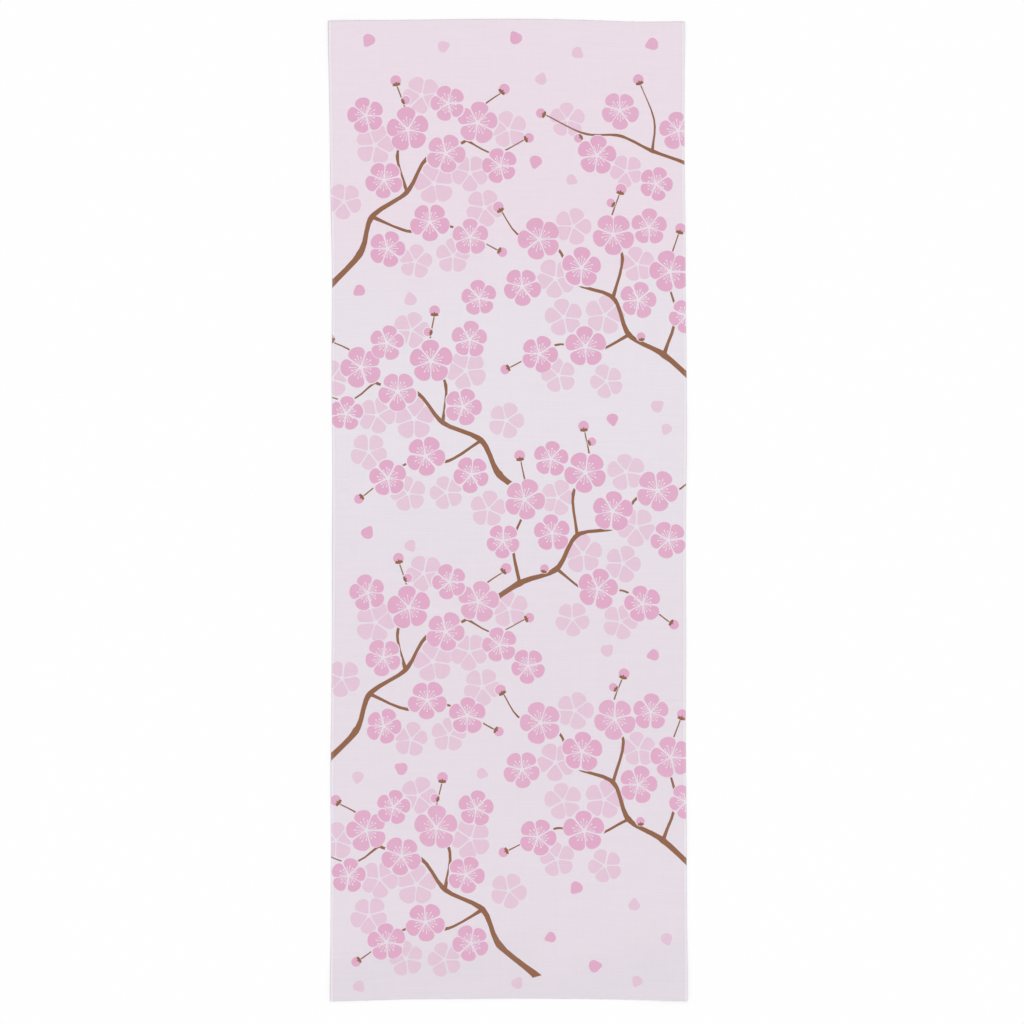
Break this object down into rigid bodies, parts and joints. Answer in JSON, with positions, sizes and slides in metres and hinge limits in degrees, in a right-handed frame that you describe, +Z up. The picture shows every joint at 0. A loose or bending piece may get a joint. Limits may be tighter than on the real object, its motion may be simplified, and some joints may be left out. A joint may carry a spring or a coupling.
{
  "type": "tenugui towel",
  "caption": "Long narrow towel of thin printed plain-weave cotton, opened out flat, with woven side edges and unhemmed cut ends.",
  "frame": {"origin": "on the surface that the towel lies on, under the middle of its bounding box", "axes": "+X across the towel to its right, +Y along the towel to its top end, +Z up, out of the printed face"},
  "size_m": [0.3338, 0.9122, 0.0021],
  "materials": {
    "printed_cotton": "matte plain weave, pale pink print"
  },
  "bodies": {
    "root": {"towel": "printed_cotton"}
  },
  "joints": []
}
